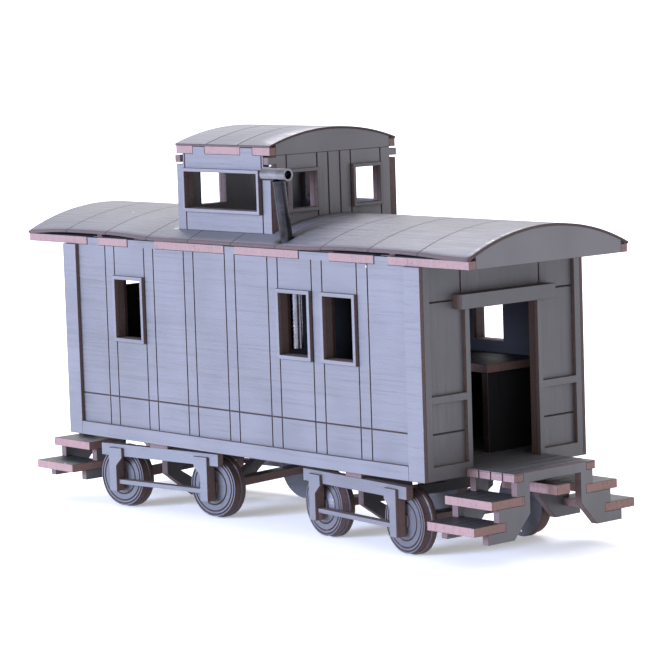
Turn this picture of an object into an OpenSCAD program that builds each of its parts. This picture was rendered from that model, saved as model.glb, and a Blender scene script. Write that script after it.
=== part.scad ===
/* [Car body] */
// length over the end walls' trim
body_length = 136.3; // [120:0.1:150]
// width over the side panels
body_width = 52; // [46:0.1:60]
// height of the side panels' lower edge above the rail
body_base = 19.4; // [17:0.1:22]
// height of the side panels
wall_height = 50.1; // [45:0.1:56]
// thickness of the structural sheet
sheet = 2; // [1.5:0.1:2.5]
// thickness of the raised trim sheet
trim = 1; // [0.6:0.1:1.5]
// width of the corner posts
post_width = 5.45; // [3:0.05:8]
// height of the sill strip
sill_height = 3.5; // [2:0.1:5]
// height of the belt line above the wall's lower edge
belt_line = 11; // [6:0.1:20]
// width of an engraved line
line_width = 0.35; // [0.2:0.05:0.6]
// depth of an engraved line
line_depth = 0.25; // [0.1:0.05:0.5]
// spacing of the board-line pairs
board_pitch = 16.15; // [12:0.05:20]
// distance between the two lines of a pair
board_gap = 3.8; // [2:0.1:6]
// shift of the middle line pair from the car's centre
board_shift = -1; // [-3:0.1:3]

/* [Windows and doors] */
// width of a side window frame
window_width = 12.35; // [8:0.05:16]
// height of a side window frame
window_height = 17.1; // [10:0.1:24]
// height of a side window frame's lower edge above the rail
window_base = 44.95; // [36:0.05:50]
// rim of the window frames
window_rim = 1; // [0.6:0.1:2]
// clear width of the end doorway
door_width = 22.5; // [16:0.1:28]
// height of the doorway's head above the rail
door_head = 58.85; // [50:0.05:64]
// height of the board that closes the rear doorway
rear_door_top = 57.3; // [50:0.1:58.5]
// length of the hood board over the doorway
hood_length = 31.2; // [24:0.1:40]

/* [Platforms and steps] */
// distance of the platform's outer end from the car's centre
deck_end = 83.8; // [78:0.1:92]
// width of the platform
deck_width = 27; // [20:0.1:34]
// width of one deck plank
plank = 3.9; // [3:0.1:6]
// height of the lower tread's top above the rail
lower_tread_top = 10.55; // [8:0.05:13]
// height of the upper tread's top above the rail
upper_tread_top = 15.85; // [13:0.05:18]
// thickness of a tread
tread_thick = 2.1; // [1.5:0.1:3]
// distance of a coupler bar's end from the car's centre
coupler_tip = 86.4; // [84:0.1:95]

/* [Roof] */
// half width of the roof plate
roof_half = 26.2; // [24:0.1:30]
// crown radius of the main roof, inside the skin
crown_radius = 59; // [45:0.1:80]
// thickness of the roof skins
skin = 0.5; // [0.3:0.1:1]
// number of skin panels along the main roof
roof_panels = 10; // [6:1:14]
// gap between the removable roof and the body
roof_gap = 0.1; // [0.05:0.05:0.3]
// lean of the stove pipe from upright
pipe_lean = 7.7; // [0:0.1:20]
// outer diameter of the stove pipe
pipe_diameter = 3.1; // [2:0.1:5]
// height of the stove pipe's cross tube along the pipe
pipe_reach = 18.2; // [12:0.1:26]
// height of the open end of the pipe inside the cabin
pipe_foot = 47; // [30:0.5:60]
// length of the cross tube
tee_length = 8.8; // [6:0.1:16]

/* [Cupola] */
// length of the cupola
cupola_length = 36.4; // [28:0.1:50]
// width of the cupola
cupola_width = 41.8; // [34:0.1:50]
// position of the cupola's centre along the car
cupola_x = -8.5; // [-20:0.1:20]
// height of the cupola walls' top above the rail
cupola_top = 93.6; // [88:0.1:100]
// crown radius of the cupola roof, inside the skin
cupola_radius = 62; // [45:0.1:80]

/* [Trucks] */
// distance of each truck's centre from the car's centre
truck_x = 40; // [34:0.1:46]
// turn of the front truck as displayed
front_turn = -6; // [-9:0.5:9]
// turn of the rear truck as displayed
rear_turn = 7; // [-9:0.5:9]
// wheelbase of a truck
wheelbase = 32.8; // [26:0.1:38]
// distance of a side frame's outer face from the centre line
frame_face = 22; // [20:0.1:24]
// wheel tread radius
tread_radius = 7.75; // [6:0.05:9]
// wheel flange radius
flange_radius = 8.25; // [6.5:0.05:9.5]
// diameter of the axle ends
axle_diameter = 1.6; // [1.2:0.1:1.8]
// width of the flat bar between two wheels
axle_bar = 4; // [3:0.1:6]
// radial running clearance of the axles and kingpins
running_gap = 0.05; // [0.02:0.01:0.1]
// kingpin diameter
kingpin_diameter = 3; // [2:0.1:4]

/* [Hidden] */
$fn = 48;
hl = body_length / 2;                 // half length over the end trim
wl = hl - trim;                       // outer face of the end walls
hw = body_width / 2;                  // outer face of the side panels
top = body_base + wall_height;        // top edge of the walls
floor_z = body_base - 0.1;            // underside of the floor sheet
floor_top = floor_z + sheet;
plate_z = top + 0.05;                 // underside of the roof plate
plate_top = plate_z + sheet;
post_x = hl - post_width;             // inner edge of the corner posts
roof_axis = plate_top - sqrt(crown_radius * crown_radius - roof_half * roof_half);
cup_hl = cupola_length / 2;
cup_hw = cupola_width / 2;
cup_plate_top = cupola_top + sheet;
cup_axis = cup_plate_top - sqrt(cupola_radius * cupola_radius - cup_hw * cup_hw);
ear = 2.2;                            // roof plate ears beside the end formers
lining_y = hw - sheet - 1;            // inner face of the 1 mm side linings
stile = 2;                            // end trim stile width
jamb = 1.5;                           // door jamb strip width
end_lines = [30.15, 60.95];           // heights of the lines engraved across the end walls
panel_low = [22.75, 37.35];           // lower and upper edge of the lower opening in the end trim
panel_high = 39.15;                   // lower edge of the upper opening in the end trim
hood_h = 3.5;
hood_d = 3;
axle_z = flange_radius;
wheel_face = frame_face - sheet - 0.7; // outer face of a wheel
wheel_width = 3.5;
rail_top = 17.2;                      // top edge of a truck side frame
rail_h = 3.1;
rail_half = 20.95;
leg_w = 2.6;
leg_base = 4.8;
bolster_top = rail_top + sheet;
pin_r = kingpin_diameter / 2;
lower_pipe = [17.8, -21];             // axis of the pipe inside the cabin
tee_start = -5;                       // end of the cross tube beside the pipe's axis
coupler_top = 17.55;
coupler_thick = 2.4;
coupler_half = 2.2;
pad_x = [72, 79];                     // ends of the pads over the couplers
bunk_x = [32, 58];                    // ends of the bunk
bunk_z = 41;                          // underside of the bunk board
kingpin_base = 14.4;
plate_x = deck_end - sheet;           // inner face of the outer step plates
inner_x = hl + 0.05;                  // outer side of the end trim, where inner step plates begin
tabs = [[-58.6, -54], [-41.6, -30.4], [-2.8, 1], [25.2, 36], [52, 56.6]];
window_x = [for (k = [-3, 1, 2]) board_shift + board_pitch * (k + 0.5)];
cup_tabs = [-9.25, 9.25];
cup_win = [29.8, 79.05, 90.05];       // side window frame: width, lower and upper edge
cup_end_win = [10, 79.35, 90.05];     // end window frame: width, lower and upper edge
cup_end_y = 10.6;
cup_rim = 0.9;
turns = [front_turn, rear_turn];

paint = [0.36, 0.37, 0.42];
raw = [0.72, 0.58, 0.48];
steel = [0.3, 0.31, 0.34];

// box given by its low and high corners
module box(a, b) {
    translate(a) cube([b[0] - a[0], b[1] - a[1], b[2] - a[2]]);
}

// a half outline followed by its mirror image
function mirrored(p) = concat(p, [for (i = [len(p) - 1:-1:0]) [-p[i][0], p[i][1]]]);

// sheet lying in a plane across the car: outline in y and z, from x = x0, t thick
module cross_sheet(x0, t) {
    translate([x0, 0, 0]) rotate([90, 0, 90]) linear_extrude(height = t) children();
}

// copies at both ends of the car
module both_ends() {
    children();
    rotate([0, 0, 180]) children();
}

// copies on both sides of the car
module both_sides() {
    children();
    mirror([0, 1, 0]) children();
}

// ---------- car body ----------

module floor_sheet() {
    color(paint) difference() {
        union() {
            box([-wl + sheet, -hw + sheet, floor_z], [wl - sheet, hw - sheet, floor_top]);
            box([-deck_end, -deck_width / 2, floor_z], [deck_end, deck_width / 2, floor_top]);
        }
        both_ends() {
            // notch that takes the outer step plate's bridge
            box([plate_x, -deck_width / 2 + 3, floor_z - 1], [deck_end + 1, deck_width / 2 - 3, floor_top + 1]);
            for (k = [1:3]) {
                x = deck_end - plank * k;
                box([x - line_width / 2, -deck_width / 2 - 1, floor_top - 0.3],
                    [x + line_width / 2, deck_width / 2 + 1, floor_top + 1]);
                both_sides()
                    box([x - line_width / 2, deck_width / 2 - 0.35, floor_z - 1],
                        [x + line_width / 2, deck_width / 2 + 1, floor_top + 1]);
            }
        }
        for (x = [-truck_x, truck_x])
            translate([x, 0, floor_z - 1]) cylinder(r = pin_r, h = sheet + 2);
    }
}

// side panel with its tabs, windows and engraved lines, built on the +Y side
module side_panel() {
    difference() {
        union() {
            box([-wl, hw - sheet, body_base], [wl, hw, top]);
            for (t = tabs) box([t[0], hw - sheet, top - 1], [t[1], hw, plate_top - 0.15]);
        }
        for (x = window_x) window_hole(x, hw - sheet - 1, hw + 1);
        // belt line and the upright line pairs, cut in the outer face
        box([-post_x, hw - line_depth, body_base + belt_line - line_width / 2],
            [post_x, hw + 1, body_base + belt_line + line_width / 2]);
        for (k = [-3:3]) for (s = [-1, 1]) {
            x = board_shift + board_pitch * k + s * board_gap / 2;
            box([x - line_width / 2, hw - line_depth, body_base + sill_height],
                [x + line_width / 2, hw + 1, top]);
        }
    }
}

module window_hole(x, y0, y1) {
    box([x - window_width / 2 + window_rim, y0, window_base + window_rim],
        [x + window_width / 2 - window_rim, y1, window_base + window_height - window_rim]);
}

module side_wall_left() { color(paint) mirror([0, 1, 0]) side_panel(); }
module side_wall_right() { color(paint) side_panel(); }

module side_lining() {
    difference() {
        box([-wl + sheet, lining_y, floor_top], [wl - sheet, hw - sheet, top - 2]);
        for (x = window_x) window_hole(x, lining_y - 1, hw);
    }
}
module side_lining_left() { color(paint) mirror([0, 1, 0]) side_lining(); }
module side_lining_right() { color(paint) side_lining(); }

// end wall with its doorway and engraved lines, built at the +X end
module end_panel() {
    y1 = hw - sheet;
    difference() {
        box([wl - sheet, -y1, body_base], [wl, y1, top]);
        box([0, -door_width / 2, body_base - 1], [wl + 1, door_width / 2, door_head]);
        box([0, -deck_width / 2, body_base - 1], [wl + 1, deck_width / 2, floor_top]);
        both_sides() {
            for (z = end_lines)
                box([wl - line_depth, hood_length / 2, z - line_width / 2],
                    [wl + 1, y1 + 1, z + line_width / 2]);
            box([wl - line_depth, door_width / 2 + jamb, end_lines[0] - line_width / 2],
                [wl + 1, hood_length / 2 + 1, end_lines[0] + line_width / 2]);
            box([wl - line_depth, 13 - line_width / 2, door_head + hood_h],
                [wl + 1, 13 + line_width / 2, top + 1]);
        }
    }
}
module end_wall_front() { color(paint) end_panel(); }
module end_wall_rear() { color(paint) rotate([0, 0, 180]) end_panel(); }

module corner_posts() {
    color(paint) both_ends() both_sides()
        box([post_x, hw, body_base], [hl, hw + trim, top]);
}

module sill_strips() {
    color(paint) both_sides()
        box([-post_x, hw, body_base], [post_x, hw + trim, body_base + sill_height]);
}

module window_frames() {
    for (x = window_x) difference() {
        box([x - window_width / 2, hw, window_base], [x + window_width / 2, hw + trim, window_base + window_height]);
        window_hole(x, hw - 1, hw + trim + 1);
    }
}
module window_frames_left() { color(paint) mirror([0, 1, 0]) window_frames(); }
module window_frames_right() { color(paint) window_frames(); }

// raised frame on the end wall: stiles, rails and jambs in one sheet
module end_trim() {
    difference() {
        box([wl, -hw, body_base], [hl, hw, top]);
        box([wl - 1, -door_width / 2, body_base - 1], [hl + 1, door_width / 2, top + 1]);
        box([wl - 1, -deck_width / 2, body_base - 1], [hl + 1, deck_width / 2, floor_top]);
        both_sides() {
            y0 = door_width / 2 + jamb;
            y1 = hw - stile;
            box([wl - 1, y0, panel_low[0]], [hl + 1, y1, panel_low[1]]);
            box([wl - 1, y0, panel_high], [hl + 1, y1, top + 1]);
            box([wl - 1, 0, door_head], [hl + 1, y0 + 1, top + 1]);
        }
    }
}
module end_trim_front() { color(paint) end_trim(); }
module end_trim_rear() { color(paint) rotate([0, 0, 180]) end_trim(); }

module door_hoods() {
    color(paint) both_ends()
        box([wl, -hood_length / 2, door_head], [wl + hood_d, hood_length / 2, door_head + hood_h]);
}

// board glued over the rear doorway's inner side
module rear_door() {
    y = door_width / 2 + sheet;
    color(paint) box([-wl + sheet, -y, floor_top], [-wl + 2 * sheet, y, rear_door_top]);
}

// outline of a step plate: y and z, one half; bridge true adds the bridge at deck level
module step_outline(bridge) {
    low = bridge ? floor_z - 0.4 : coupler_top + 0.1;
    high = bridge ? floor_top : floor_z;
    half = [
        [8.5, low], [8.5, 11.65], [13.8, 5.95], [22.3, 5.95],
        [22.3, lower_tread_top - tread_thick], [16.6, lower_tread_top - tread_thick],
        [16.6, lower_tread_top], [18.6, lower_tread_top],
        [18.6, upper_tread_top - tread_thick], [10.3, upper_tread_top - tread_thick],
        [10.3, upper_tread_top], [12.6, upper_tread_top], [12.6, floor_z],
        [deck_width / 2 - 3, floor_z], [deck_width / 2 - 3, high]];
    polygon(mirrored(half));
}
module step_plate() { cross_sheet(plate_x, sheet) step_outline(true); }
module step_plate_front() { color(paint) step_plate(); }
module step_plate_rear() { color(paint) rotate([0, 0, 180]) step_plate(); }
module inner_step_plates() {
    color(paint) both_ends() cross_sheet(inner_x, sheet) step_outline(false);
}

module upper_treads() {
    color(paint) both_ends() both_sides()
        box([inner_x, 10.3, upper_tread_top - tread_thick], [deck_end, 20.9, upper_tread_top]);
}
module lower_treads() {
    color(paint) both_ends() both_sides()
        box([inner_x, 16.6, lower_tread_top - tread_thick], [deck_end, 26.8, lower_tread_top]);
}

module couplers() {
    color(raw) both_ends()
        box([inner_x, -coupler_half, coupler_top - coupler_thick], [coupler_tip, coupler_half, coupler_top]);
}
module coupler_pads() {
    color(raw) both_ends()
        box([pad_x[0], -coupler_half, coupler_top], [pad_x[1], coupler_half, floor_z]);
}

// bunk along the +Y side, seen through the front doorway
module bunk_board() {
    color(paint) box([bunk_x[0], 4, bunk_z], [bunk_x[1], lining_y, bunk_z + sheet]);
}
module bunk_legs() {
    color(paint) for (x = [bunk_x[0] + sheet, bunk_x[1] - 2 * sheet])
        box([x, 6, floor_top], [x + sheet, lining_y, bunk_z]);
}

module kingpins() {
    color(steel) for (x = [-truck_x, truck_x]) translate([x, 0, 0]) {
        translate([0, 0, kingpin_base]) cylinder(r = pin_r, h = floor_top - kingpin_base);
        translate([0, 0, floor_top]) cylinder(r = 3, h = 1.2);
    }
}
module kingpin_nuts() {
    color(steel) for (x = [-truck_x, truck_x]) translate([x, 0, 0]) difference() {
        translate([0, 0, 15]) cylinder(r = 2.8, h = 2);
        translate([0, 0, 14]) cylinder(r = pin_r, h = 4);
    }
}

// ---------- roof and cupola ----------

module roof_plate() {
    g = roof_gap;
    color(paint) difference() {
        box([-deck_end, -roof_half, plate_z], [deck_end, roof_half, plate_top]);
        both_sides() for (t = tabs)
            box([t[0] - g, hw - sheet - g, plate_z - 1], [t[1] + g, roof_half + 1, plate_top + 1]);
        both_ends()
            box([plate_x, -roof_half + ear, plate_z - 1], [deck_end + 1, roof_half - ear, plate_top + 1]);
        // hatch under the cupola
        box([cupola_x - cup_hl + 5, -cup_hw + 5, plate_z - 1], [cupola_x + cup_hl - 5, cup_hw - 5, plate_top + 1]);
    }
}

// section of an arched former that stands on height z0, with its crown arc about axis height c
module arch_outline(half, z0, c, r) {
    intersection() {
        translate([0, c]) circle(r = r, $fn = 180);
        translate([-half, z0]) square([2 * half, 20]);
    }
}

module roof_formers() {
    color(paint) both_ends()
        cross_sheet(plate_x, sheet) arch_outline(roof_half - ear, plate_z, roof_axis, crown_radius);
}

module roof_ribs() {
    color(paint) for (x = [-56, 30, 56])
        cross_sheet(x - 1, sheet) arch_outline(roof_half - ear, plate_top, roof_axis, crown_radius);
}

// curved skin with its engraved seams, inner radius r about height c
module curved_skin(x0, x1, half, c, r, seams) {
    difference() {
        cross_sheet(x0, x1 - x0) intersection() {
            difference() {
                translate([0, c]) circle(r = r + skin, $fn = 180);
                translate([0, c]) circle(r = r, $fn = 180);
            }
            translate([-half, c]) square([2 * half, r + 5]);
        }
        for (x = seams) cross_sheet(x - 0.15, 0.3) difference() {
            translate([0, c]) circle(r = r + skin + 1, $fn = 180);
            translate([0, c]) circle(r = r + skin - 0.12, $fn = 180);
        }
    }
}

module roof_skin() {
    pitch = 2 * deck_end / roof_panels;
    n = floor(roof_panels / 2) - 1;
    color(paint) difference() {
        curved_skin(-deck_end - 0.2, deck_end + 0.2, roof_half + 0.2, roof_axis, crown_radius,
            [for (k = [-n:n]) k * pitch]);
        box([cupola_x - cup_hl - 0.1, -cup_hw - 0.1, plate_z], [cupola_x + cup_hl + 0.1, cup_hw + 0.1, cupola_top]);
        pipe_place() translate([0, 0, -5]) cylinder(r = pipe_diameter / 2 + 0.1, h = 12);
    }
}

// cupola side wall, built on the +Y side
module cupola_side() {
    x0 = cupola_x - cup_hl;
    x1 = cupola_x + cup_hl;
    w = cup_win[0] / 2;
    difference() {
        union() {
            box([x0, cup_hw - sheet, plate_top], [x1, cup_hw, cupola_top]);
            for (t = cup_tabs)
                box([cupola_x + t - 2.3, cup_hw - sheet, cupola_top - 1],
                    [cupola_x + t + 2.3, cup_hw, cup_plate_top - 0.15]);
        }
        box([cupola_x - w + cup_rim, 0, cup_win[1] + cup_rim], [cupola_x + w - cup_rim, cup_hw + 1, cup_win[2] - cup_rim]);
        for (s = [-1, 1])
            box([cupola_x + s * w - line_width / 2, cup_hw - line_depth, plate_top],
                [cupola_x + s * w + line_width / 2, cup_hw + 1, cupola_top]);
        // notches at the upper corners for the end walls' tabs
        for (s = [-1, 1]) translate([cupola_x, 0, 0]) scale([s, 1, 1])
            box([cup_hl - 2.6, 0, 90.9], [cup_hl + 1, cup_hw + 1, cupola_top + 1]);
    }
}
module cupola_side_left() { color(paint) mirror([0, 1, 0]) cupola_side(); }
module cupola_side_right() { color(paint) cupola_side(); }

// cupola end wall, built for the +X end about the cupola's centre
module cupola_end() {
    y1 = cup_hw - sheet;
    w = cup_end_win[0] / 2;
    difference() {
        union() {
            box([cup_hl - sheet, -y1, plate_top], [cup_hl, y1, cupola_top]);
            box([cup_hl - sheet, -cup_hw - 0.4, 91.4], [cup_hl, cup_hw + 0.4, 93.2]);
        }
        both_sides() {
            box([0, cup_end_y - w + cup_rim, cup_end_win[1] + cup_rim],
                [cup_hl + 1, cup_end_y + w - cup_rim, cup_end_win[2] - cup_rim]);
            for (y = [1.95, cup_end_y - w, cup_end_y + w])
                box([cup_hl - line_depth, y - line_width / 2, plate_top - 1],
                    [cup_hl + 1, y + line_width / 2, cupola_top + 1]);
        }
    }
}
module cupola_end_front() { color(paint) translate([cupola_x, 0, 0]) cupola_end(); }
module cupola_end_rear() { color(paint) translate([cupola_x, 0, 0]) rotate([0, 0, 180]) cupola_end(); }

module cupola_frames_side() {
    w = cup_win[0] / 2;
    color(paint) translate([cupola_x, 0, 0]) both_sides() difference() {
        box([-w, cup_hw, cup_win[1]], [w, cup_hw + 1.2, cup_win[2]]);
        box([-w + cup_rim, cup_hw - 1, cup_win[1] + cup_rim], [w - cup_rim, cup_hw + 2, cup_win[2] - cup_rim]);
    }
}
module cupola_frames_end() {
    w = cup_end_win[0] / 2;
    color(paint) translate([cupola_x, 0, 0]) both_ends() both_sides() difference() {
        box([cup_hl, cup_end_y - w, cup_end_win[1]], [cup_hl + 1, cup_end_y + w, cup_end_win[2]]);
        box([cup_hl - 1, cup_end_y - w + cup_rim, cup_end_win[1] + cup_rim],
            [cup_hl + 2, cup_end_y + w - cup_rim, cup_end_win[2] - cup_rim]);
    }
}

module cupola_plate() {
    color(paint) translate([cupola_x, 0, 0]) difference() {
        box([-cup_hl, -cup_hw, cupola_top], [cup_hl, cup_hw, cup_plate_top]);
        both_sides() for (t = cup_tabs)
            box([t - 2.4, cup_hw - sheet, cupola_top - 1], [t + 2.4, cup_hw + 1, cup_plate_top + 1]);
        both_ends()
            box([cup_hl - sheet, -cup_hw + sheet, cupola_top - 1], [cup_hl + 1, cup_hw - sheet, cup_plate_top + 1]);
    }
}

module cupola_formers() {
    color(paint) translate([cupola_x, 0, 0]) both_ends()
        cross_sheet(cup_hl - sheet, sheet) arch_outline(cup_hw - sheet, cupola_top, cup_axis, cupola_radius);
}

module cupola_skin() {
    color(paint) curved_skin(cupola_x - cup_hl - 0.2, cupola_x + cup_hl + 0.2, cup_hw + 0.1, cup_axis,
        cupola_radius, [cupola_x - cupola_length / 6, cupola_x + cupola_length / 6]);
}

// frame of the stove pipe: origin on the pipe's axis at the roof plate's top
module pipe_place() {
    translate([17.8, -23, plate_top]) rotate([pipe_lean, 0, 0]) children();
}
module stove_pipe() {
    color(steel) intersection() {
        pipe_place() difference() {
            translate([0, 0, -2]) cylinder(r = pipe_diameter / 2, h = pipe_reach + 0.5);
            translate([0, 0, -3]) cylinder(r = pipe_diameter / 2 - 0.5, h = 30);
        }
        box([0, -40, plate_top], [40, 0, 120]);
    }
}
module stove_pipe_cap() {
    color(steel) pipe_place() difference() {
        translate([tee_start, 0, pipe_reach]) rotate([0, 90, 0]) difference() {
            cylinder(r = pipe_diameter / 2, h = tee_length);
            translate([0, 0, -1]) cylinder(r = pipe_diameter / 2 - 0.5, h = tee_length + 2);
        }
        translate([0, 0, 10]) cylinder(r = pipe_diameter / 2, h = pipe_reach - 11.5);
    }
}

// part of the pipe that hangs in the cabin, under the roof plate
module stove_pipe_lower() {
    color(steel) translate([lower_pipe[0], lower_pipe[1], pipe_foot]) difference() {
        cylinder(r = pipe_diameter / 2, h = plate_z - pipe_foot);
        translate([0, 0, -1]) cylinder(r = pipe_diameter / 2 - 0.5, h = plate_z - pipe_foot - 1);
    }
}

// ---------- trucks ----------

module at_truck(i) {
    translate([i == 0 ? truck_x : -truck_x, 0, 0]) rotate([0, 0, turns[i]]) children();
}

// side frame: top rail, two pedestal legs and a tie bar, cut from one sheet, on the +Y side
module side_frame() {
    x = wheelbase / 2;
    difference() {
        union() {
            box([-rail_half, frame_face - sheet, rail_top - rail_h], [rail_half, frame_face, rail_top]);
            for (s = [-1, 1])
                box([s * x - leg_w / 2, frame_face - sheet, leg_base], [s * x + leg_w / 2, frame_face, rail_top - 1]);
            box([-x, frame_face - sheet, 6.75], [x, frame_face, 7.85]);
        }
        for (s = [-1, 1]) translate([s * x, frame_face + 1, axle_z]) rotate([90, 0, 0])
            cylinder(r = axle_diameter / 2 + running_gap, h = sheet + 2);
    }
}

// raised pedestal covers over the legs, on the +Y side
module pedestals() {
    x = wheelbase / 2;
    h = 0.8;
    for (s = [0, 1]) mirror([s, 0, 0]) translate([0, frame_face + h, 0]) rotate([90, 0, 0])
        linear_extrude(height = h) polygon([
            [x + leg_w / 2, leg_base], [x + leg_w / 2, rail_top - 0.9],
            [x - leg_w / 2 - 2.1, rail_top - 0.9], [x - leg_w / 2 - 2.1, rail_top - rail_h - 0.4],
            [x - leg_w / 2, rail_top - rail_h - 2.5], [x - leg_w / 2, leg_base]]);
}

module truck_bolster() {
    difference() {
        box([-3.2, -frame_face, rail_top], [3.2, frame_face, bolster_top - 0.1]);
        translate([0, 0, rail_top - 1]) cylinder(r = pin_r + running_gap, h = sheet + 2);
    }
}

// cross truss under the bolster
module truck_truss() {
    y = frame_face - sheet;
    cross_sheet(-1, sheet) difference() {
        // lower edge and ends, then the saddle that clears the kingpin and its nut
        polygon(mirrored([[9.6, 3.2], [y, 10.3], [y, rail_top], [5, rail_top], [5, 13]]));
        polygon([[-7, 6], [7, 6], [15, 10.6], [-15, 10.6]]);
    }
}

module wheel() {
    // one wheel about the Z axis, outer face at z = 0, flange below
    g = 0.2;
    difference() {
        union() {
            translate([0, 0, -2]) cylinder(r = tread_radius, h = 2);
            translate([0, 0, -wheel_width]) cylinder(r = flange_radius, h = wheel_width - 2);
            translate([0, 0, -1]) cylinder(r = 2, h = 1.4);
        }
        for (r = [0.6, 0.82, 0.93]) translate([0, 0, -g]) difference() {
            cylinder(r = r * tread_radius + 0.15, h = 1);
            translate([0, 0, -1]) cylinder(r = r * tread_radius - 0.15, h = 3);
        }
        translate([0, 0, -5]) cylinder(r = axle_diameter / 2, h = 7);
    }
}

module wheel_pair(i, s) {
    color(paint) at_truck(i) translate([s * wheelbase / 2, 0, axle_z]) both_sides()
        translate([0, wheel_face, 0]) rotate([-90, 0, 0]) wheel();
}
// flat bar between the wheels with a round pin at each end
module axle(i, s) {
    y = wheel_face - wheel_width;
    color(raw) at_truck(i) translate([s * wheelbase / 2, 0, axle_z]) {
        box([-axle_bar / 2, -y, -sheet / 2], [axle_bar / 2, y, sheet / 2]);
        rotate([90, 0, 0]) cylinder(r = axle_diameter / 2, h = 2 * (frame_face - 0.15), center = true);
    }
}

module front_truck_frames() { color(paint) at_truck(0) both_sides() side_frame(); }
module front_truck_pedestals() { color(paint) at_truck(0) both_sides() pedestals(); }
module front_truck_bolster() { color(raw) at_truck(0) truck_bolster(); }
module front_truck_truss() { color(paint) at_truck(0) truck_truss(); }
module rear_truck_frames() { color(paint) at_truck(1) both_sides() side_frame(); }
module rear_truck_pedestals() { color(paint) at_truck(1) both_sides() pedestals(); }
module rear_truck_bolster() { color(raw) at_truck(1) truck_bolster(); }
module rear_truck_truss() { color(paint) at_truck(1) truck_truss(); }
module front_outer_wheels() { wheel_pair(0, 1); }
module front_outer_axle() { axle(0, 1); }
module front_inner_wheels() { wheel_pair(0, -1); }
module front_inner_axle() { axle(0, -1); }
module rear_inner_wheels() { wheel_pair(1, 1); }
module rear_inner_axle() { axle(1, 1); }
module rear_outer_wheels() { wheel_pair(1, -1); }
module rear_outer_axle() { axle(1, -1); }

floor_sheet();
side_wall_left();
side_wall_right();
side_lining_left();
side_lining_right();
end_wall_front();
end_wall_rear();
corner_posts();
sill_strips();
window_frames_left();
window_frames_right();
end_trim_front();
end_trim_rear();
door_hoods();
rear_door();
step_plate_front();
step_plate_rear();
inner_step_plates();
upper_treads();
lower_treads();
couplers();
coupler_pads();
bunk_board();
bunk_legs();
kingpins();
kingpin_nuts();
roof_plate();
roof_formers();
roof_ribs();
roof_skin();
cupola_side_left();
cupola_side_right();
cupola_end_front();
cupola_end_rear();
cupola_frames_side();
cupola_frames_end();
cupola_plate();
cupola_formers();
cupola_skin();
stove_pipe();
stove_pipe_cap();
stove_pipe_lower();
front_truck_frames();
front_truck_pedestals();
front_truck_bolster();
front_truck_truss();
rear_truck_frames();
rear_truck_pedestals();
rear_truck_bolster();
rear_truck_truss();
front_outer_wheels();
front_outer_axle();
front_inner_wheels();
front_inner_axle();
rear_inner_wheels();
rear_inner_axle();
rear_outer_wheels();
rear_outer_axle();
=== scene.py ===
import math

import bpy
from mathutils import Matrix, Vector


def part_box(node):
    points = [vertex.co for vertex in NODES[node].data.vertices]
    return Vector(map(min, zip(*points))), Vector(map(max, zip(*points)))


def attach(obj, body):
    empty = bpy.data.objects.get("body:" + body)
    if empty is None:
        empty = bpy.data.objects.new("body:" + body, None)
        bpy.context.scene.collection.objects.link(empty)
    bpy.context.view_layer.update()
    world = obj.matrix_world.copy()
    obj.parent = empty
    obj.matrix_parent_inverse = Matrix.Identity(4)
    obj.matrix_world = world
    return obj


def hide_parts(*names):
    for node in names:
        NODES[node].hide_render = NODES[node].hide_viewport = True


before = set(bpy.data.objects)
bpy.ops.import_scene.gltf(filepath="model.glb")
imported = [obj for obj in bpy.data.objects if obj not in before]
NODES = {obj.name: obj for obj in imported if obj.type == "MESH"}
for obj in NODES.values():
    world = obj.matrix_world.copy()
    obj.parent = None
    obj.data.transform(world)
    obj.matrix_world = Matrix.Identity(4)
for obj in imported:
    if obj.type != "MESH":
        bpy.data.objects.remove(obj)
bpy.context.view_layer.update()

MM = 0.001
X, Y, Z = (1, 0, 0), (0, 1, 0), (0, 0, 1)

# ---------- measures, in millimetres ----------

LINE_DEPTH = 0.25              # depth of the engraved lines in the walls
PLANK_DEPTH = 0.3              # depth of the plank lines in the decks
RING_DEPTH = 0.2               # depth of the rings cut in a wheel's face
SEAM_DEPTH = 0.12              # depth of the seams in the cupola's skin
SEAM_WIDTH = 0.4               # width of the seams drawn on the main skin
LINE_REACH = 0.05              # how near to a line's bottom a point counts as in the line
ARRIS_WIDTH = 0.07             # width of the arris along a cut edge, scorched and darkened as painted shadow
SPECK_RADIUS = 0.28            # radius of a dust speck
BOARD_RELIEF = 0.06            # relief of the board's grain and of its cut edges
STEEL_RELIEF = 0.01            # relief of the streaks on steel
WHEEL_FACE = 19.3              # distance of a wheel's outer face from the truck's centre line
TRUCKS = {"front": (40.0, -6.0), "rear": (-40.0, 7.0)}   # place along the car, turn in degrees

CROWN_RADIUS = 59.0            # inside radius of the main roof skin
CUPOLA_RADIUS = 62.0           # inside radius of the cupola's skin
SKIN = 0.5                     # thickness of the roof skins
PANELS = 10                    # panels between the seams of the main skin
PIPE = Vector((17.8, -23.0))   # the stove pipe's place on the roof
PIPE_HOLE = 1.65               # radius of its hole in the skin
CUPOLA_GAP = 0.1               # gap between the main skin and the cupola's plate
FLAT_CREST = 7.0               # half the width along the crest where the skin lies on its arch

# place along the car, half width and height of the skin's waves, on the stove pipe's side and beyond
NEAR_WAVES = ((-58.0, 21.0, 1.0), (52.0, 21.0, 0.85), (0.0, 34.0, 0.25))
FAR_WAVES = ((-48.0, 22.0, 0.8), (58.0, 15.0, 0.7), (8.0, 30.0, 0.3))

FACE_LIMIT = 0.72              # cosine of the tilt from a board's axis where its painted face ends

# ---------- colours ----------

PAINT_DARK = (0.056, 0.053, 0.058)
PAINT_LIGHT = (0.090, 0.086, 0.094)
BURNT_DARK = (0.055, 0.033, 0.031)
BURNT_LIGHT = (0.175, 0.106, 0.097)
SOOT = (0.022, 0.012, 0.012)
DUST = (0.75, 0.62, 0.56)


def shaded(colour, factor):
    return [c * factor for c in colour]


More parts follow.
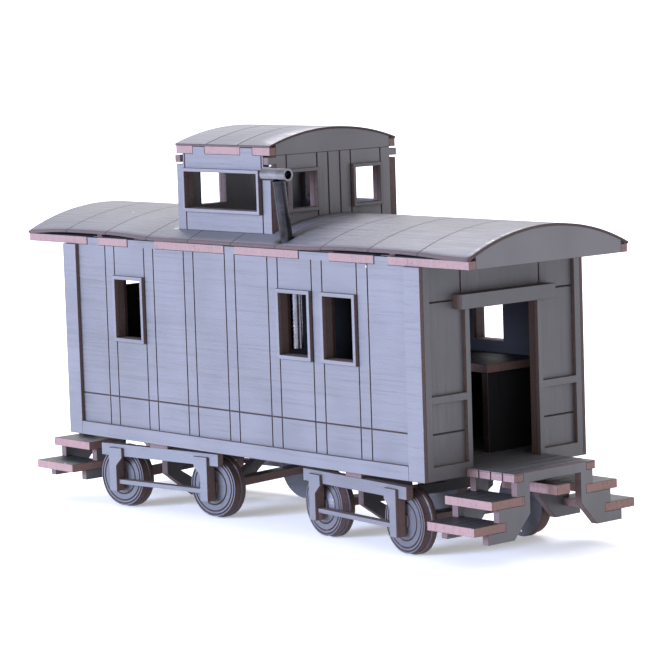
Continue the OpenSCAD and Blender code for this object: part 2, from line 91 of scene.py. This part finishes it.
def low(node):
    """Lowest corner of a CAD node in millimetres."""
    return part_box(node)[0] / MM


def high(node):
    """Highest corner of a CAD node in millimetres."""
    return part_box(node)[1] / MM


def link(name, data):
    """A new object in the scene, made from a mesh, a light or a camera."""
    obj = bpy.data.objects.new(name, data)
    bpy.context.scene.collection.objects.link(obj)
    return obj


# ---------- shader building ----------

class Shader:
    """One material, built node by node. place is a point of the surface in millimetres."""

    def __init__(self, name):
        self.material = bpy.data.materials.new(name)
        self.material.use_nodes = True
        self.tree = self.material.node_tree
        self.bsdf = self.tree.nodes["Principled BSDF"]
        coordinates = self.add("ShaderNodeTexCoord")
        self.normal = coordinates.outputs["Normal"]
        self.place = self.vector("SCALE", coordinates.outputs["Object"], scale=1 / MM)

    def add(self, kind, **settings):
        node = self.tree.nodes.new(kind)
        for key, value in settings.items():
            setattr(node, key, value)
        return node

    def feed(self, socket, value):
        if isinstance(value, bpy.types.NodeSocket):
            self.tree.links.new(value, socket)
        else:
            socket.default_value = value

    def math(self, operation, a, b=0.0, c=0.0):
        node = self.add("ShaderNodeMath", operation=operation)
        for socket, value in zip(node.inputs, (a, b, c)):
            self.feed(socket, value)
        return node.outputs[0]

    def vector(self, operation, a, b=None, scale=None):
        node = self.add("ShaderNodeVectorMath", operation=operation)
        self.feed(node.inputs[0], a)
        if b is not None:
            self.feed(node.inputs[1], b)
        if scale is not None:
            self.feed(node.inputs["Scale"], scale)
        return node.outputs["Value"] if operation in ("DOT_PRODUCT", "LENGTH") else node.outputs[0]

    def weighted(self, *parts):
        """Sum of (value, weight) pairs."""
        total = None
        for value, weight in parts:
            share = self.math("MULTIPLY", value, weight)
            total = share if total is None else self.math("ADD", total, share)
        return total

    def noise(self, stretch, detail=2.0, roughness=0.5):
        """Noise whose size along each axis, in millimetres, is 1 over stretch."""
        node = self.add("ShaderNodeTexNoise")
        self.feed(node.inputs["Vector"], self.vector("MULTIPLY", self.place, stretch))
        node.inputs["Scale"].default_value = 1.0
        node.inputs["Detail"].default_value = detail
        node.inputs["Roughness"].default_value = roughness
        return node.outputs["Fac"]

    def ramp(self, value, *stops):
        """Colour ramp over value, with stops of (value, colour)."""
        node = self.add("ShaderNodeValToRGB")
        self.feed(node.inputs[0], value)
        elements = node.color_ramp.elements
        while len(elements) < len(stops):
            elements.new(0.5)
        for element, (position, colour) in zip(elements, stops):
            element.position = position
            element.color = (*colour, 1.0)
        return node.outputs["Color"]

    def mix(self, share, a, b):
        """Colour a where share is 0 and b where it is 1."""
        node = self.add("ShaderNodeMix", data_type="RGBA")
        self.feed(node.inputs["Factor"], share)
        self.feed(node.inputs["A"], a if isinstance(a, bpy.types.NodeSocket) else (*a, 1.0))
        self.feed(node.inputs["B"], b if isinstance(b, bpy.types.NodeSocket) else (*b, 1.0))
        return node.outputs["Result"]

    def blend(self, share, a, b):
        """Number a where share is 0 and b where it is 1."""
        node = self.add("ShaderNodeMix", data_type="FLOAT")
        self.feed(node.inputs["Factor"], share)
        self.feed(node.inputs["A"], a)
        self.feed(node.inputs["B"], b)
        return node.outputs["Result"]

    def bump(self, height, relief):
        node = self.add("ShaderNodeBump")
        self.feed(node.inputs["Height"], height)
        node.inputs["Distance"].default_value = relief * MM
        self.feed(self.bsdf.inputs["Normal"], node.outputs[0])

    def finish(self, colour, roughness, **constants):
        self.feed(self.bsdf.inputs["Base Color"], colour)
        self.feed(self.bsdf.inputs["Roughness"], roughness)
        for key, value in constants.items():
            self.bsdf.inputs[key.replace("_", " ")].default_value = value
        return self.material


def streaked(direction, slow, extra):
    """Noise stretch that is slow along the direction, and by extra quicker across it."""
    return [slow + (1 - abs(part)) * extra for part in direction]


def dust(s, spacing):
    """Mask of single specks, about one to a cube of that spacing."""
    node = s.add("ShaderNodeTexVoronoi")
    s.feed(node.inputs["Vector"], s.vector("SCALE", s.place, scale=1 / spacing))
    node.inputs["Scale"].default_value = 1.0
    return s.math("LESS_THAN", node.outputs["Distance"], SPECK_RADIUS / spacing)


def flat_measures(s, axis, centre):
    """How squarely a flat board's surface faces along the axis, and its distance from the centre."""
    facing = s.math("ABSOLUTE", s.vector("DOT_PRODUCT", s.normal, axis))
    along_axis = s.vector("DOT_PRODUCT", s.place, axis)
    return facing, s.math("ABSOLUTE", s.math("SUBTRACT", along_axis, centre))


def arched_measures(s, height):
    """How squarely a bent skin faces up, and its distance from the axis at that height."""
    facing = s.math("ABSOLUTE", s.vector("DOT_PRODUCT", s.normal, Z))
    from_axis = s.vector("SUBTRACT", s.place, (0, 0, height))
    return facing, s.vector("LENGTH", s.vector("MULTIPLY", from_axis, (0, 1, 1)))


def board(name, axis, along, groove=None, centre=0.0, arch=None, shade=1.0, burn=1.0,
          specks=17.0, gloss=0.5, seams=None):
    """Laser-cut fibreboard: painted faces across the axis, burnt edges, soot in the engraved lines.

    along is the grain's direction, groove the distance of the lines' bottoms from the centre
    along the axis, and arch the height of the axis that a curved skin bends about. shade and
    burn lighten or darken the paint and the edges; on several boards this is painted light and
    painted shade. specks is the distance between dust specks, gloss the strength of the paint's
    sheen, and seams the spacing of the lines across a roof skin.
    """
    s = Shader(name)
    if arch is None:
        facing, distance = flat_measures(s, axis, centre)
    else:
        facing, distance = arched_measures(s, arch)
    face = s.math("GREATER_THAN", facing, FACE_LIMIT)

    grain = s.noise(streaked(along, 0.04, 1.9), detail=3.0, roughness=0.65)
    cloud = s.noise((0.06, 0.06, 0.06), detail=2.0)
    fibre = s.noise((5.0, 5.0, 5.0), detail=1.0)
    tone = s.weighted((grain, 0.3), (cloud, 0.5), (fibre, 0.2))
    paint = s.ramp(tone, (0.3, shaded(PAINT_DARK, shade)), (0.7, shaded(PAINT_LIGHT, shade)))
    paint = s.mix(s.math("MULTIPLY", dust(s, specks), 0.8), paint, DUST)

    streaks = s.noise(streaked(axis, 0.15, 3.2), detail=2.0, roughness=0.6)
    mottle = s.noise((1.6, 1.6, 1.6), detail=3.0, roughness=0.7)
    char = s.weighted((streaks, 0.35), (mottle, 0.5))
    edge = s.ramp(s.weighted((char, 1.0), (cloud, 0.15)),
                  (0.3, shaded(BURNT_DARK, burn)),
                  (0.45, shaded(BURNT_LIGHT, burn * 0.8)),
                  (0.7, shaded(BURNT_LIGHT, burn)))

    colour = s.mix(face, edge, paint)
    rough = s.blend(face, 0.85, s.math("MULTIPLY_ADD", grain, 0.8, 0.06))
    line = None
    if groove is not None:
        line = s.math("COMPARE", distance, groove, LINE_REACH)
    if seams is not None:
        to_seam = s.math("PINGPONG", s.vector("DOT_PRODUCT", s.place, X), seams / 2)
        line = s.math("LESS_THAN", to_seam, SEAM_WIDTH / 2)
    if line is not None:
        colour = s.mix(line, colour, SOOT)
        rough = s.blend(line, rough, 1.0)
    s.bump(s.blend(face, char, s.weighted((grain, 0.5), (fibre, 0.5))), BOARD_RELIEF)
    return s.finish(colour, rough, Specular_IOR_Level=gloss)


def burnt_and_shadowed_arris(name):
    """The arris between a painted face and a cut edge: mostly scorched and soot-dark as a painted
    shadow line, rubbed pale in places.
    """
    s = Shader(name)
    wear = s.noise((0.55, 0.55, 0.55), detail=3.0, roughness=0.7)
    colour = s.ramp(wear, (0.5, SOOT), (0.64, BURNT_DARK), (0.78, BURNT_LIGHT))
    return s.finish(colour, 0.7)


def steel(name, dark, light):
    """Blackened or bare steel with light tarnish and fine bands along its height."""
    s = Shader(name)
    tarnish = s.noise((0.35, 0.35, 0.35), detail=4.0, roughness=0.6)
    bands = s.noise((0.3, 0.3, 6.0), detail=2.0)
    colour = s.ramp(s.weighted((tarnish, 0.7), (bands, 0.3)), (0.3, dark), (0.7, light))
    s.bump(bands, STEEL_RELIEF)
    return s.finish(colour, s.math("MULTIPLY_ADD", tarnish, 0.2, 0.15), Metallic=1.0)


# ---------- dressing the CAD nodes ----------

def bevel(obj):
    """Cuts a thin arris along every sharp edge, in the object's second material."""
    weld = obj.modifiers.new("weld", "WELD")
    weld.merge_threshold = 0.002 * MM
    flat = obj.modifiers.new("flat", "DECIMATE")
    flat.decimate_type = "DISSOLVE"
    flat.angle_limit = math.radians(0.5)
    arris = obj.modifiers.new("rounded", "BEVEL")
    arris.width = ARRIS_WIDTH * MM
    arris.segments = 1
    arris.limit_method = "ANGLE"
    arris.angle_limit = math.radians(50)
    arris.material = 1


def dress(node, material):
    materials = NODES[node].data.materials
    materials.clear()
    materials.append(material)


def dress_board(nodes, material):
    """Gives the nodes a board material and a scorched arris, darkened as painted shadow, along their
    cut edges.
    """
    for node in nodes:
        dress(node, material)
        NODES[node].data.materials.append(SCORCHED_AND_SHADOWED)
        bevel(NODES[node])


# the arris material: scorched, with soot-dark patches that are painted shadow along the cut edges
SCORCHED_AND_SHADOWED = burnt_and_shadowed_arris("scorched_and_shadowed_arris")
wall_face = high("side_wall_right").y
end_face = high("end_wall_front").x
deck_top = high("floor_sheet").z
cupola_centre = (low("cupola_plate").x + high("cupola_plate").x) / 2
cupola_side_face = high("cupola_side_right").y
cupola_end_face = high("cupola_end_front").x - cupola_centre
roof_half = high("roof_skin").y
roof_axis = high("roof_skin").z - CROWN_RADIUS - SKIN
cupola_axis = high("cupola_skin").z - CUPOLA_RADIUS - SKIN

dress_board(["side_wall_left", "side_wall_right"],
            board("painted_board_side", Y, X, groove=wall_face - LINE_DEPTH, burn=0.35))
dress_board(["corner_posts", "sill_strips", "window_frames_left", "window_frames_right",
             "cupola_frames_side"],
            board("painted_board_trim", Y, X, shade=1.1, burn=0.45))
# shade 0.85 darkens the end walls as painted shade under the roof's overhang
dress_board(["end_wall_front", "end_wall_rear"],
            board("painted_board_end", X, Z, groove=end_face - LINE_DEPTH, shade=0.85, burn=0.4))
# shade 0.85 darkens the end trim and door hoods as painted shade under the roof's overhang
dress_board(["end_trim_front", "end_trim_rear", "door_hoods"],
            board("painted_board_end_trim", X, Z, shade=0.85, burn=0.55))
dress_board(["step_plate_front", "step_plate_rear", "inner_step_plates", "cupola_frames_end"],
            board("painted_board_cross", X, Z, burn=0.55))
# shade 1.3 lightens the roof and cupola formers as painted light
dress_board(["roof_formers", "roof_ribs", "cupola_formers"],
            board("painted_board_arch", X, Y, shade=1.3, burn=0.55))
dress_board(["floor_sheet"],
            board("painted_board_deck", Z, Y, groove=deck_top - PLANK_DEPTH))
dress_board(["roof_plate", "cupola_plate"],
            board("painted_board_flat", Z, X))
# shade 0.4 darkens treads, couplers and pads as painted shade under the car body; burn 1.25 lightens
# their cut edges as a painted highlight in place of the lower gloss
dress_board(["upper_treads", "lower_treads", "couplers", "coupler_pads"],
            board("painted_board_tread", Z, Y, shade=0.4, burn=1.25, specks=7.0, gloss=0.25))
dress_board(["cupola_side_left", "cupola_side_right"],
            board("painted_board_cupola_side", Y, X, groove=cupola_side_face - LINE_DEPTH,
                  burn=0.5))
# shade 1.35 lightens the cupola's end walls as painted light
dress_board(["cupola_end_front", "cupola_end_rear"],
            board("painted_board_cupola_end", X, Z, groove=cupola_end_face - LINE_DEPTH,
                  centre=cupola_centre, shade=1.35, burn=0.5))
# linings, bunk, bunk legs and rear door are darkened (shade 0.2, 0.1, 0.15) as painted shade inside
# the closed car
dress_board(["side_lining_left", "side_lining_right"],
            board("painted_board_lining", Y, X, shade=0.2, burn=0.2, gloss=0.05))
dress_board(["bunk_board"],
            board("painted_board_bunk", Z, X, shade=0.1, burn=0.6, gloss=0.05))
dress_board(["bunk_legs", "rear_door"],
            board("painted_board_inside", X, Z, shade=0.15, burn=0.2, gloss=0.05))
dress_board(["cupola_skin"],
            board("painted_card_cupola", Z, X, groove=CUPOLA_RADIUS + SKIN - SEAM_DEPTH,
                  arch=cupola_axis, burn=0.35))

dress("stove_pipe", steel("blackened_steel", (0.015, 0.015, 0.018), (0.05, 0.05, 0.058)))
bare_steel = steel("bare_steel", (0.09, 0.09, 0.1), (0.22, 0.22, 0.25))
for fitting in ("stove_pipe_cap", "stove_pipe_lower", "kingpins", "kingpin_nuts"):
    dress(fitting, bare_steel)


def dress_truck(end, place, turn):
    """Materials that follow a truck's own directions, as it stands turned under the car."""
    turned = Matrix.Rotation(math.radians(turn), 3, "Z")
    along, across = turned @ Vector(X), turned @ Vector(Y)
    dress_board([f"{end}_truck_frames", f"{end}_truck_pedestals"],
                board(f"painted_board_{end}_truck", across, along, burn=0.7))
    # shade 0.45 and burn 0.35 darken the truss as painted shade under the car
    dress_board([f"{end}_truck_truss"],
                board(f"painted_board_{end}_truss", along, Z, shade=0.45, burn=0.35, gloss=0.25))
    dress_board([f"{end}_truck_bolster", f"{end}_outer_axle", f"{end}_inner_axle"],
                board(f"painted_board_{end}_bolster", Z, across, burn=0.7))
    # shade 0.85 darkens the wheels as painted shade behind the truck frames
    dress_board([f"{end}_outer_wheels", f"{end}_inner_wheels"],
                board(f"painted_board_{end}_wheels", across, along,
                      groove=WHEEL_FACE - RING_DEPTH, centre=across.x * place,
                      shade=0.85, burn=0.5, gloss=0.28))


for end, (place, turn) in TRUCKS.items():
    dress_truck(end, place, turn)


# ---------- the roof skin, which lifts off its plate in slow waves ----------

def lift(x, y):
    """How far the skin stands off its arch: nothing along the crest, most at the eaves."""
    towards_eaves = max(0.0, (abs(y) - FLAT_CREST) / (roof_half - FLAT_CREST)) ** 1.6
    waves = NEAR_WAVES if y < 0 else FAR_WAVES
    return towards_eaves * sum(h * math.exp(-((x - c) / w) ** 4) for c, w, h in waves)


def thick_sheet(name, outer, inner, xs, ys, keep):
    """A sheet over the grid xs by ys, with an outer and an inner surface and closed edges."""
    points, faces, index = [], [], {}

    def corner(i, j, layer):
        key = (i, j, layer)
        if key not in index:
            index[key] = len(points)
            points.append(Vector((outer, inner)[layer](xs[i], ys[j])) * MM)
        return index[key]

    kept = {(i, j) for i in range(len(xs) - 1) for j in range(len(ys) - 1)
            if keep((xs[i] + xs[i + 1]) / 2, (ys[j] + ys[j + 1]) / 2)}
    for i, j in sorted(kept):
        ring = [(i, j), (i + 1, j), (i + 1, j + 1), (i, j + 1)]
        faces.append([corner(a, b, 0) for a, b in ring])
        faces.append([corner(a, b, 1) for a, b in reversed(ring)])
        beside = [(i, j - 1), (i + 1, j), (i, j + 1), (i - 1, j)]
        for k, other in enumerate(beside):
            if other not in kept:
                (a, b), (c, d) = ring[k], ring[(k + 1) % 4]
                faces.append([corner(a, b, 1), corner(c, d, 1), corner(c, d, 0), corner(a, b, 0)])
    mesh = bpy.data.meshes.new(name)
    mesh.from_pydata(points, [], faces)
    mesh.validate()
    mesh.shade_smooth()
    return link(name, mesh)


def grid(breaks, step):
    """Rising places that include every break, with even gaps of about step between them."""
    places = []
    breaks = sorted(breaks)
    for a, b in zip(breaks, breaks[1:]):
        count = max(1, round((b - a) / step))
        places += [a + (b - a) * k / count for k in range(count)]
    return places + [breaks[-1]]


def roof_skin():
    """The arched skin with its waves, cut out round the cupola and the stove pipe."""
    lo, hi = low("roof_skin"), high("roof_skin")
    cut_rear = low("cupola_plate").x - CUPOLA_GAP
    cut_front = high("cupola_plate").x + CUPOLA_GAP
    cut_side = high("cupola_plate").y + CUPOLA_GAP
    pipe_lines = [-1.0, -0.5, 0.0, 0.5, 1.0]
    breaks_x = [lo.x, hi.x, cut_rear, cut_front] + [PIPE.x + PIPE_HOLE * r for r in pipe_lines]
    breaks_y = [lo.y, hi.y, -cut_side, cut_side] + [PIPE.y + PIPE_HOLE * r for r in pipe_lines]

    def kept(x, y):
        in_hole = abs(x - PIPE.x) < PIPE_HOLE and abs(y - PIPE.y) < PIPE_HOLE
        in_cupola = cut_rear < x < cut_front and abs(y) < cut_side
        return not in_hole and not in_cupola

    def round_hole(x, y):
        """Moves the corners of the square round the pipe onto the hole's circle."""
        u, v = (x - PIPE.x) / PIPE_HOLE, (y - PIPE.y) / PIPE_HOLE
        if not math.isclose(max(abs(u), abs(v)), 1, abs_tol=1e-6):
            return x, y
        size = math.hypot(u, v)
        return PIPE.x + u / size * PIPE_HOLE, PIPE.y + v / size * PIPE_HOLE

    def surface(radius):
        def point(x, y):
            x, y = round_hole(x, y)
            return x, y, roof_axis + math.sqrt(radius ** 2 - y ** 2) + lift(x, y)
        return point

    obj = thick_sheet("roof_skin_waved", surface(CROWN_RADIUS + SKIN), surface(CROWN_RADIUS),
                      grid(breaks_x, 2.0), grid(breaks_y, 1.4), kept)
    pitch = 2 * high("roof_plate").x / PANELS
    obj.data.materials.append(board("painted_card_roof", Z, X, arch=roof_axis, burn=0.35,
                                    gloss=0.44, seams=pitch))
    return obj


skin = roof_skin()
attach(skin, "roof")
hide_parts("roof_skin")


# ---------- floor, light and camera ----------

def floor(reach, colour, glow):
    """A plain pale floor that reaches so many metres each way and glows a little of its own."""
    s = Shader("pale_floor")
    shade = s.ramp(s.noise((0.02, 0.02, 0.02)), (0.2, shaded(colour, 0.98)), (0.8, colour))
    mesh = bpy.data.meshes.new("floor")
    corners = [(-reach, -reach, 0), (reach, -reach, 0), (reach, reach, 0), (-reach, reach, 0)]
    mesh.from_pydata(corners, [], [(0, 1, 2, 3)])
    mesh.materials.append(s.finish(shade, 0.9, Emission_Color=(1.0, 1.0, 1.0, 1.0),
                                   Emission_Strength=glow))
    link("floor", mesh)


def direction(azimuth, elevation):
    """Unit vector towards a place in degrees. Azimuth 0 is on the -Y side, 90 on +X."""
    a, e = math.radians(azimuth), math.radians(elevation)
    return Vector((math.sin(a) * math.cos(e), -math.cos(a) * math.cos(e), math.sin(e)))


def distant_light(name, azimuth, elevation, width, strength, colour):
    """A far, soft light from that direction, which looks width degrees wide."""
    light = bpy.data.lights.new(name, "SUN")
    light.energy = strength
    light.angle = math.radians(width)
    light.color = colour
    towards = direction(azimuth, elevation)
    link(name, light).rotation_euler = towards.to_track_quat("Z", "Y").to_euler()


def sky(colour, strength):
    world = bpy.data.worlds.new("studio")
    world.use_nodes = True
    background = world.node_tree.nodes["Background"]
    background.inputs["Color"].default_value = (*colour, 1.0)
    background.inputs["Strength"].default_value = strength
    bpy.context.scene.world = world


def camera(azimuth, elevation, distance, target, roll, lens):
    """A camera that looks at the target from a distance, both in metres, rolled by some degrees."""
    data = bpy.data.cameras.new("camera")
    data.lens = lens
    data.sensor_width = 36.0
    data.clip_end = 50.0
    towards = direction(azimuth, elevation)
    turn = towards.to_track_quat("Z", "Y").to_matrix()
    turn = turn @ Matrix.Rotation(math.radians(roll), 3, "Z")
    obj = link("camera", data)
    obj.matrix_world = Matrix.Translation(Vector(target) + towards * distance) @ turn.to_4x4()
    bpy.context.scene.camera = obj


floor(reach=6.0, colour=(0.78, 0.77, 0.79), glow=0.3)
sky((1.0, 1.0, 1.0), strength=1.05)
distant_light("key", azimuth=225, elevation=52, width=30, strength=3.0, colour=(0.95, 0.93, 1.0))
distant_light("fill", azimuth=-15, elevation=8, width=30, strength=14.0, colour=(0.56, 0.67, 1.0))
camera(azimuth=48.650, elevation=6.297, distance=0.76411, target=(0.001484, 0.001747, 0.0500),
       roll=-1.865, lens=168.88)
bpy.context.scene.view_settings.view_transform = "Standard"
